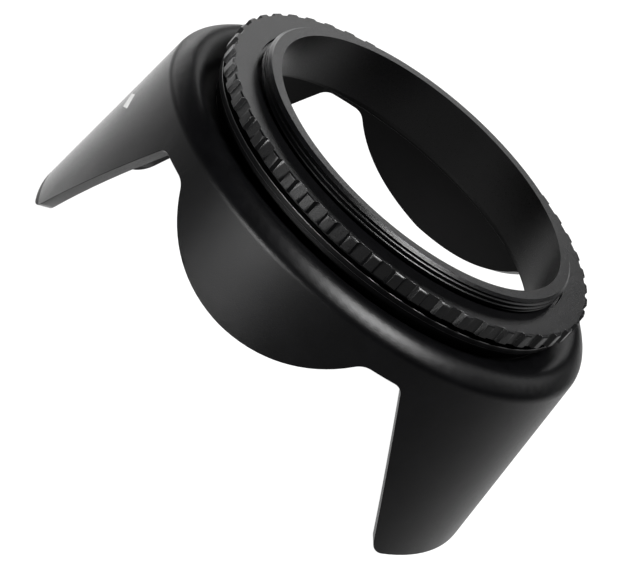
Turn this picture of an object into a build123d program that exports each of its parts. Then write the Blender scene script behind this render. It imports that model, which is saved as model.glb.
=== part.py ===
from build123d import *
import math
import os

# Screw-in petal lens hood, millimetres. The hood stands on its two long petals:
# Z = 0 is the plane of their tips, +Z runs along the optical axis to the filter
# thread, and the long petals are at +X and -X. A depth is measured down from the
# rear rim of the thread.

HEIGHT = 42.4

# filter thread and the ring that carries it
THREAD_R = 29.0
THREAD_PITCH = 0.75
THREAD_GROOVE = 0.42
THREAD_GROOVE_WIDTH = 0.58
THREAD_LEAD = 0.5
THREAD_END_DEPTH = 2.3
GROOVE_START_ANGLE = 20
GROOVE_START_DEPTH = 2.8
GROOVE_OVERRUN = 0.5
RELIEF_R = 28.4
COLLAR_DEPTH = 2.9
BORE_REAR_R = 26.74
BORE_FRONT_R = 27.3
BORE_STEP_R = 28.0
BORE_STEP_DEPTH = 9.1
BARREL_R = 29.4
FLANGE_R = 30.6
FLANGE_TOP_DEPTH = 9.15
FLANGE_BOTTOM_DEPTH = 9.95

# knurled lock ring
LOCK_TOP_DEPTH = 2.37
RIB_BOTTOM_DEPTH = 4.95
LOCK_BOTTOM_DEPTH = 5.95
RIB_COUNT = 49
RIB_TIP_R = 34.08
RIB_ROOT_R = 33.45
RIB_TIP_ANGLE = 1.3
RIB_ROOT_ANGLE = 4.0
RIB_CHAMFER = 0.22
BOSS_R = 31.8

# slip washer
WASHER_R = 33.3
WASHER_TOP_DEPTH = 6.0
WASHER_BOTTOM_DEPTH = 6.95

# petal shell; CROWN_LINE holds (radius, depth) points of the shoulder, hub side first
HUB_R = 32.0
HUB_TOP_DEPTH = 7.0
HUB_FLOOR_DEPTH = 9.1
CREASE_DEPTH = 9.4
CROWN_LINE = [(34.3, 8.53), (36.3, 8.2), (37.34, 8.53), (38.8, 9.65)]
SHOULDER_END_DEPTH = 11.2
ROOF_DEPTH = 11.45
SKIRT_R = 39.48
SKIRT_SLOPE = 0.0749
SKIRT_REF_DEPTH = 10.0
WALL = 2.4
POCKET_R = 30.9

# petal outline, angles from the nearest long petal's centre line
GAP_DEPTH = 14.9
GAP_START = 51.2
GAP_END = 61.3
GAP_VIEW = 60.0
TIP_HALF_ANGLE = 28.3
TIP_CORNER_R = 3.6
LONG_ROOT_R = 2.2
SHORT_ROOT_R = 3.0
SHORT_PETAL_DEPTH = 24.3
SHORT_PETAL_MID_ANGLE = 75.5
SHORT_PETAL_MID_DEPTH = 22.3

# index mark in the left petal
MARK_ANGLE = 201.5
MARK_DEPTH = 20.9
MARK_WIDTH = 5.6
MARK_HEIGHT = 2.8
MARK_INLAY = 0.2

RUNNING = 0.07


def level(depth):
    return HEIGHT - depth


def skirt_radius(depth):
    return SKIRT_R + SKIRT_SLOPE * (depth - SKIRT_REF_DEPTH)


def turned(points):
    """Solid of revolution from (radius, depth) corners."""
    outline = Polyline(*[(radius, 0, level(depth)) for radius, depth in points], close=True)
    return revolve(make_face(outline), Axis.Z)


def thread_groove():
    """Helical V groove that leaves the crest of the filter thread."""
    turns = Helix(
        pitch=THREAD_PITCH,
        height=GROOVE_START_DEPTH + GROOVE_OVERRUN,
        radius=THREAD_R,
        center=(0, 0, level(GROOVE_START_DEPTH)),
    )
    start = turns @ 0
    lift = 0.1
    wide = THREAD_GROOVE_WIDTH / 2 * (1 + lift / THREAD_GROOVE)
    across = Plane(origin=start, x_dir=(start.X, start.Y, 0), z_dir=turns % 0)
    section = make_face(Polyline((lift, -wide), (lift, wide), (-THREAD_GROOVE, 0), close=True))
    groove = sweep(across * section, path=turns, is_frenet=True)
    return groove.rotate(Axis.Z, GROOVE_START_ANGLE)


def mount_ring():
    body = turned([
        (BORE_REAR_R, 0),
        (THREAD_R - THREAD_LEAD, 0),
        (THREAD_R, THREAD_LEAD),
        (THREAD_R, THREAD_END_DEPTH),
        (RELIEF_R, THREAD_END_DEPTH + 0.1),
        (RELIEF_R, COLLAR_DEPTH),
        (BARREL_R, COLLAR_DEPTH),
        (BARREL_R, FLANGE_TOP_DEPTH),
        (FLANGE_R, FLANGE_TOP_DEPTH),
        (FLANGE_R, FLANGE_BOTTOM_DEPTH),
        (BORE_STEP_R, FLANGE_BOTTOM_DEPTH),
        (BORE_STEP_R, BORE_STEP_DEPTH),
        (BORE_FRONT_R, BORE_STEP_DEPTH),
    ])
    return body - thread_groove()


def lock_ring():
    half_tip = math.radians(RIB_TIP_ANGLE / 2)
    half_root = math.radians(RIB_ROOT_ANGLE / 2)
    over = RIB_TIP_R + 0.5
    rib = make_face(Polyline(
        (RIB_ROOT_R - 0.5, -RIB_ROOT_R * half_root),
        (RIB_ROOT_R, -RIB_ROOT_R * half_root),
        (over, -over * half_tip),
        (over, over * half_tip),
        (RIB_ROOT_R, RIB_ROOT_R * half_root),
        (RIB_ROOT_R - 0.5, RIB_ROOT_R * half_root),
        close=True,
    ))
    knurl = Circle(RIB_ROOT_R) + PolarLocations(0, RIB_COUNT) * rib
    knurl = Pos(0, 0, level(LOCK_BOTTOM_DEPTH)) * extrude(knurl, LOCK_BOTTOM_DEPTH - LOCK_TOP_DEPTH)
    envelope = turned([
        (BARREL_R + RUNNING, LOCK_TOP_DEPTH),
        (RIB_TIP_R - RIB_CHAMFER, LOCK_TOP_DEPTH),
        (RIB_TIP_R, LOCK_TOP_DEPTH + RIB_CHAMFER),
        (RIB_TIP_R, RIB_BOTTOM_DEPTH - RIB_CHAMFER),
        (RIB_TIP_R - RIB_CHAMFER, RIB_BOTTOM_DEPTH),
        (BOSS_R, RIB_BOTTOM_DEPTH),
        (BOSS_R, LOCK_BOTTOM_DEPTH),
        (BARREL_R + RUNNING, LOCK_BOTTOM_DEPTH),
    ])
    return envelope & knurl


def slip_washer():
    return turned([
        (BARREL_R + 0.35, WASHER_TOP_DEPTH),
        (WASHER_R, WASHER_TOP_DEPTH),
        (WASHER_R, WASHER_BOTTOM_DEPTH),
        (BARREL_R + 0.35, WASHER_BOTTOM_DEPTH),
    ])


def shell_blank():
    """Hub, crowned shoulder and full skirt before the petals are cut."""
    crease = (HUB_R, 0, level(CREASE_DEPTH))
    shoulder_end = (skirt_radius(SHOULDER_END_DEPTH), 0, level(SHOULDER_END_DEPTH))
    crown = Spline(
        crease,
        *[(radius, 0, level(depth)) for radius, depth in CROWN_LINE],
        shoulder_end,
        tangents=[(1, 0, 0.45), (SKIRT_SLOPE, 0, -1)],
    )
    rest = Polyline(
        shoulder_end,
        (skirt_radius(HEIGHT), 0, level(HEIGHT)),
        (skirt_radius(HEIGHT) - WALL, 0, level(HEIGHT)),
        (skirt_radius(ROOF_DEPTH) - WALL, 0, level(ROOF_DEPTH)),
        (POCKET_R, 0, level(ROOF_DEPTH)),
        (POCKET_R, 0, level(HUB_FLOOR_DEPTH)),
        (BARREL_R + RUNNING, 0, level(HUB_FLOOR_DEPTH)),
        (BARREL_R + RUNNING, 0, level(HUB_TOP_DEPTH)),
        (HUB_R, 0, level(HUB_TOP_DEPTH)),
        crease,
    )
    return revolve(make_face(Curve() + [crown, rest]), Axis.Z)


def gap_cutter():
    """Prism that frees one side of a long petal and half of a short petal."""
    def seen(angle, depth):
        across = skirt_radius(depth) * math.sin(math.radians(angle - GAP_VIEW))
        return (across, level(depth))

    below = HEIGHT + 3
    side_slope = (GAP_START - TIP_HALF_ANGLE) / (HEIGHT - GAP_DEPTH)
    low_angle = TIP_HALF_ANGLE - side_slope * (below - HEIGHT)
    long_side = Line(seen(low_angle, below), seen(GAP_START, GAP_DEPTH))
    gap_roof = Line(long_side @ 1, seen(GAP_END, GAP_DEPTH))
    short_side = ThreePointArc(
        gap_roof @ 1,
        seen(SHORT_PETAL_MID_ANGLE, SHORT_PETAL_MID_DEPTH),
        seen(90, SHORT_PETAL_DEPTH),
    )
    end = short_side @ 1
    closing = Polyline(end, (end.X + 3, end.Y), (end.X + 3, level(below)), long_side @ 0)
    face = make_face(Curve() + [long_side, gap_roof, short_side, closing])
    view = math.radians(GAP_VIEW)
    plane = Plane(
        origin=(0, 0, 0),
        x_dir=(-math.sin(view), math.cos(view), 0),
        z_dir=(math.cos(view), math.sin(view), 0),
    )
    return extrude(plane * face, 60)


def index_mark_prism():
    """Radial prism with the diamond outline of the mark."""
    angle = math.radians(MARK_ANGLE)
    plane = Plane(
        origin=(0, 0, level(MARK_DEPTH)),
        x_dir=(-math.sin(angle), math.cos(angle), 0),
        z_dir=(math.cos(angle), math.sin(angle), 0),
    )
    half_width, half_height = MARK_WIDTH / 2, MARK_HEIGHT / 2
    outline = Polyline(
        (-half_width, 0),
        (0, -half_height),
        (half_width, 0),
        (0, half_height),
        close=True,
    )
    return extrude(plane * make_face(outline), 60)


def index_mark():
    top = MARK_DEPTH - MARK_HEIGHT
    bottom = MARK_DEPTH + MARK_HEIGHT
    layer = turned([
        (skirt_radius(top) - MARK_INLAY, top),
        (skirt_radius(top), top),
        (skirt_radius(bottom), bottom),
        (skirt_radius(bottom) - MARK_INLAY, bottom),
    ])
    return layer & index_mark_prism()


def petal_shell():
    shell = shell_blank()
    cutter = gap_cutter()
    mirrored = mirror(cutter, about=Plane.YZ)
    for piece in (cutter, mirrored, mirror(cutter, about=Plane.XZ), mirror(mirrored, about=Plane.XZ)):
        shell = shell - piece
    return shell


def radial_edges(shell, depth, angle):
    """The four short edges across the wall at one depth and angle from the X axis."""
    found = []
    for edge in shell.edges():
        middle = edge @ 0.5
        turned_angle = math.degrees(math.atan2(abs(middle.Y), abs(middle.X)))
        at_angle = abs(turned_angle - angle) < 2.5
        at_depth = abs(middle.Z - level(depth)) < 0.2
        if at_angle and at_depth and edge.length < 1.5 * WALL:
            found.append(edge)
    return found


def rounded_petals(shell):
    shell = fillet(radial_edges(shell, HEIGHT, TIP_HALF_ANGLE), TIP_CORNER_R)
    shell = fillet(radial_edges(shell, GAP_DEPTH, GAP_START), LONG_ROOT_R)
    return fillet(radial_edges(shell, GAP_DEPTH, GAP_END), SHORT_ROOT_R)


mark = index_mark()
nodes = {
    "petal_shell": rounded_petals(petal_shell()) - mark,
    "mount_ring": mount_ring(),
    "lock_ring": lock_ring(),
    "slip_washer": slip_washer(),
    "index_mark": mark,
}

os.makedirs("parts", exist_ok=True)
for name, solid in nodes.items():
    export_step(solid, f"parts/{name}.step")
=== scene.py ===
import math

import bpy
from mathutils import Matrix, Vector


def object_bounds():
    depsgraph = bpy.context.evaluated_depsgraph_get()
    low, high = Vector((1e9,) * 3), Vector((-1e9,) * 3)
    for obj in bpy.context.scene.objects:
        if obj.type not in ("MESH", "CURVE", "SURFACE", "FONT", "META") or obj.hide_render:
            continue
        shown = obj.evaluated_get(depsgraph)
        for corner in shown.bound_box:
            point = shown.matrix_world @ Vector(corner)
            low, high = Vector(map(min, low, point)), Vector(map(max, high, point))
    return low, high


# Screw-in petal lens hood. Metres, in the CAD model's frame: the hood stands on its
# long petals, +Z is the optical axis and points to the rear thread.

# The camera's azimuth is measured from -Y towards +X. It looks at the centre of the
# rear rim, and the slide then moves it left and down in its own picture plane.
CAMERA_AZIMUTH = math.radians(9.18)
CAMERA_ELEVATION = math.radians(23.89)
CAMERA_ROLL = math.radians(41.61)
CAMERA_DISTANCE = 0.7523
CAMERA_SLIDE_LEFT = 0.01605
CAMERA_SLIDE_DOWN = 0.01921
CAMERA_LENS = 282.9

# The floor stands for a white table that glows enough to hide its own shadows.
FLOOR_HALF_WIDTH = 6.0
FLOOR_COLOUR = (0.03, 0.03, 0.03)
FLOOR_ROUGHNESS = 0.9
FLOOR_GLOW = 1.0

# Softboxes point at the optical axis at this height; pads lie just above the floor.
AIM_HEIGHT = 0.02
PAD_HEIGHT = 0.001

# Each plastic is mottled between a dark and a light colour, in patches of about 4 mm.
BLACK = (0.0002, 0.0002, 0.00025)
NEAR_BLACK = (0.0005, 0.0005, 0.0006)
# The next two colours are a painted highlight: a lighter plastic on rounded edges that draws thin
# bright lines of reflected light.
EDGE_HIGHLIGHT_DARK = (0.002, 0.002, 0.002)
EDGE_HIGHLIGHT_LIGHT = (0.006, 0.006, 0.006)
PAINT_DARK = (0.12, 0.12, 0.118)
PAINT_LIGHT = (0.19, 0.19, 0.187)
MOTTLE_SCALE = 240

# Most values of a noise texture lie between these two. Over them a plastic goes from
# a little smoother than its stated roughness to a little rougher.
NOISE_LOW = 0.3
NOISE_HIGH = 0.7
SMOOTHER = 0.05
ROUGHER = 0.07

# Edges that turn by more than these angles are rounded, or split on the threaded ring.
BEVEL_ANGLE = math.radians(30)
SPLIT_ANGLE = math.radians(25)
WELD_DISTANCE = 0.000002
SHELL_BEVEL = 0.00022
RING_BEVEL = 0.00008
MARK_BEVEL = 0.00002

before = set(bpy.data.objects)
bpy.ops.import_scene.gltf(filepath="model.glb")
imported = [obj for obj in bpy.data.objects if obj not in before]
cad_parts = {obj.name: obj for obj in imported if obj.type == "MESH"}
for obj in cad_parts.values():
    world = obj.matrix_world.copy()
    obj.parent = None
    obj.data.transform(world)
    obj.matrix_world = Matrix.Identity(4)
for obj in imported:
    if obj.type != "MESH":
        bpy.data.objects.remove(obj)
cad_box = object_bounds()
rim_height = cad_box[1].z


# ---- materials -----------------------------------------------------------------

def noise(nodes, links, coordinates, scale, detail, roughness):
    node = nodes.new("ShaderNodeTexNoise")
    node.inputs["Scale"].default_value = scale
    node.inputs["Detail"].default_value = detail
    node.inputs["Roughness"].default_value = roughness
    links.new(coordinates, node.inputs["Vector"])
    return node.outputs["Fac"]


def noise_to_colour(nodes, links, source, dark, light):
    node = nodes.new("ShaderNodeValToRGB")
    start, end = node.color_ramp.elements
    start.position = NOISE_LOW
    start.color = (*dark, 1)
    end.position = NOISE_HIGH
    end.color = (*light, 1)
    links.new(source, node.inputs["Fac"])
    return node.outputs["Color"]


def noise_to_value(nodes, links, source, low, high):
    node = nodes.new("ShaderNodeMapRange")
    node.inputs["From Min"].default_value = NOISE_LOW
    node.inputs["From Max"].default_value = NOISE_HIGH
    node.inputs["To Min"].default_value = low
    node.inputs["To Max"].default_value = high
    links.new(source, node.inputs["Value"])
    return node.outputs["Result"]


def plastic(name, dark, light, roughness, grain, grain_height, specular=0.5):
    """Satin moulded plastic: mottled colour, and a fine grain in bump and roughness.

    The grain is a noise scale, in grains per metre.
    """
    material = bpy.data.materials.new(name)
    material.use_nodes = True
    nodes = material.node_tree.nodes
    links = material.node_tree.links
    shader = nodes["Principled BSDF"]
    place = nodes.new("ShaderNodeTexCoord").outputs["Object"]
    mottle = noise(nodes, links, place, MOTTLE_SCALE, detail=4, roughness=0.6)
    fine = noise(nodes, links, place, grain, detail=3, roughness=0.65)
    colour = noise_to_colour(nodes, links, mottle, dark, light)
    links.new(colour, shader.inputs["Base Color"])
    rough = noise_to_value(nodes, links, fine, roughness - SMOOTHER, roughness + ROUGHER)
    links.new(rough, shader.inputs["Roughness"])
    shader.inputs["Specular IOR Level"].default_value = specular
    bump = nodes.new("ShaderNodeBump")
    bump.inputs["Strength"].default_value = 1.0
    bump.inputs["Distance"].default_value = grain_height
    links.new(fine, bump.inputs["Height"])
    links.new(bump.outputs["Normal"], shader.inputs["Normal"])
    return material


def dress(node, material):
    """Gives a CAD node its material; welding joins the faces so that later modifiers see edges."""
    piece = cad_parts[node]
    piece.data.materials.clear()
    piece.data.materials.append(material)
    weld = piece.modifiers.new("weld", "WELD")
    weld.merge_threshold = WELD_DISTANCE
    return piece


def round_edges(piece, width, segments=2, highlight_material=None):
    """Softly rounded edges between flat faces; a material, if one is given, colours the rounded
    faces with a painted edge highlight.
    """
    bevel = piece.modifiers.new("edges", "BEVEL")
    bevel.width = width
    bevel.segments = segments
    bevel.limit_method = "ANGLE"
    bevel.angle_limit = BEVEL_ANGLE
    # The given material paints a highlight onto the bevel faces.
    if highlight_material:
        piece.data.materials.append(highlight_material)
        bevel.material = len(piece.data.materials) - 1
    piece.modifiers.new("flat_faces", "WEIGHTED_NORMAL")


def keep_sharp(piece):
    """Crisp edges for the fine thread."""
    split = piece.modifiers.new("sharp_edges", "EDGE_SPLIT")
    split.split_angle = SPLIT_ANGLE


shell_plastic = plastic(
    "shell_plastic", BLACK, NEAR_BLACK,
    roughness=0.34, grain=6500, grain_height=0.000022, specular=0.053,
)
ring_plastic = plastic(
    "ring_plastic", BLACK, NEAR_BLACK,
    roughness=0.30, grain=6000, grain_height=0.00002, specular=0.10,
)
washer_plastic = plastic(
    "washer_plastic", BLACK, NEAR_BLACK,
    roughness=0.38, grain=6000, grain_height=0.00001, specular=0.03,
)
# Painted edge highlight: a lighter plastic for the bevels of the lock ring and washer, standing in
# for reflected light on their edges.
edge_highlight_paint = plastic(
    "edge_highlight_paint", EDGE_HIGHLIGHT_DARK, EDGE_HIGHLIGHT_LIGHT,
    roughness=0.36, grain=5500, grain_height=0.000006,
)
paint = plastic(
    "mark_paint", PAINT_DARK, PAINT_LIGHT,
    roughness=0.55, grain=3000, grain_height=0.00002,
)

round_edges(dress("petal_shell", shell_plastic), SHELL_BEVEL, segments=3)
keep_sharp(dress("mount_ring", ring_plastic))
# The lock ring and washer edges get the painted edge highlight.
round_edges(dress("lock_ring", ring_plastic), RING_BEVEL, highlight_material=edge_highlight_paint)
round_edges(dress("slip_washer", washer_plastic), RING_BEVEL, highlight_material=edge_highlight_paint)
round_edges(dress("index_mark", paint), MARK_BEVEL)


# ---- stage, lights and camera --------------------------------------------------

def studio_floor():
    mesh = bpy.data.meshes.new("floor")
    half = FLOOR_HALF_WIDTH
    corners = [(-half, -half, 0), (half, -half, 0), (half, half, 0), (-half, half, 0)]
    mesh.from_pydata(corners, [], [(0, 1, 2, 3)])
    floor = bpy.data.objects.new("floor", mesh)
    bpy.context.collection.objects.link(floor)
    material = bpy.data.materials.new("floor_white")
    material.use_nodes = True
    shader = material.node_tree.nodes["Principled BSDF"]
    shader.inputs["Base Color"].default_value = (*FLOOR_COLOUR, 1)
    shader.inputs["Roughness"].default_value = FLOOR_ROUGHNESS
    shader.inputs["Specular IOR Level"].default_value = 0.0
    shader.inputs["Emission Color"].default_value = (1, 1, 1, 1)
    shader.inputs["Emission Strength"].default_value = FLOOR_GLOW
    mesh.materials.append(material)


def studio_world():
    """A dark world, so that only the lights and the glowing floor light the hood."""
    world = bpy.data.worlds.new("studio")
    world.use_nodes = True
    background = world.node_tree.nodes["Background"]
    background.inputs["Color"].default_value = (1, 1, 1, 1)
    background.inputs["Strength"].default_value = 0.0
    bpy.context.scene.world = world


def rectangular_light(name, size, power):
    data = bpy.data.lights.new(name, "AREA")
    data.shape = "RECTANGLE"
    data.size, data.size_y = size
    data.energy = power
    light = bpy.data.objects.new(name, data)
    bpy.context.collection.objects.link(light)
    return light


def softbox(name, azimuth, elevation, distance, size, power):
    """Softbox placed by the direction it shines from, its azimuth from +X towards +Y."""
    around = math.radians(azimuth)
    above = math.radians(elevation)
    outward = Vector((
        math.cos(around) * math.cos(above),
        math.sin(around) * math.cos(above),
        math.sin(above),
    ))
    light = rectangular_light(name, size, power)
    light.location = Vector((0, 0, AIM_HEIGHT)) + distance * outward
    light.rotation_euler = (-outward).to_track_quat("-Z", "Y").to_euler()


def light_pad(name, place, turn, size, power):
    """Pad lying on the table beside the hood and shining straight up."""
    pad = rectangular_light(name, size, power)
    pad.location = (*place, PAD_HEIGHT)
    pad.rotation_euler = (math.pi, 0, math.radians(turn))


def add_camera():
    back = Vector((
        math.sin(CAMERA_AZIMUTH) * math.cos(CAMERA_ELEVATION),
        -math.cos(CAMERA_AZIMUTH) * math.cos(CAMERA_ELEVATION),
        math.sin(CAMERA_ELEVATION),
    ))
    level_right = Vector((math.cos(CAMERA_AZIMUTH), math.sin(CAMERA_AZIMUTH), 0))
    level_up = back.cross(level_right)
    roll = Matrix.Rotation(CAMERA_ROLL, 3, back)
    right = roll @ level_right
    up = roll @ level_up
    rim = Vector((0, 0, rim_height))
    place = rim + CAMERA_DISTANCE * back - CAMERA_SLIDE_LEFT * right - CAMERA_SLIDE_DOWN * up
    data = bpy.data.cameras.new("camera")
    data.sensor_width = 36
    data.lens = CAMERA_LENS
    data.clip_start = 0.01
    data.clip_end = 50
    camera = bpy.data.objects.new("camera", data)
    camera.matrix_world = Matrix.Translation(place) @ Matrix((right, up, back)).transposed().to_4x4()
    bpy.context.collection.objects.link(camera)
    bpy.context.scene.camera = camera


studio_floor()
studio_world()
softbox("top_softbox", azimuth=344, elevation=72, distance=0.70, size=(0.22, 0.20), power=31.0)
softbox("back_softbox", azimuth=107.3, elevation=24, distance=0.80, size=(0.30, 0.20), power=0.74)
softbox("right_back_softbox", azimuth=58, elevation=35, distance=0.70, size=(0.30, 0.30), power=0.9)
softbox("left_back_softbox", azimuth=142, elevation=7, distance=0.70, size=(0.50, 0.14), power=1.5)
softbox("front_left_softbox", azimuth=251, elevation=1, distance=0.60, size=(0.28, 0.04), power=11.5)
light_pad("front_left_pad", place=(-0.052, -0.141), turn=245, size=(0.06, 0.055), power=0.20)
light_pad("left_pad", place=(-0.082, 0.008), turn=127, size=(0.10, 0.09), power=0.045)
add_camera()
bpy.context.scene.view_settings.view_transform = "Standard"
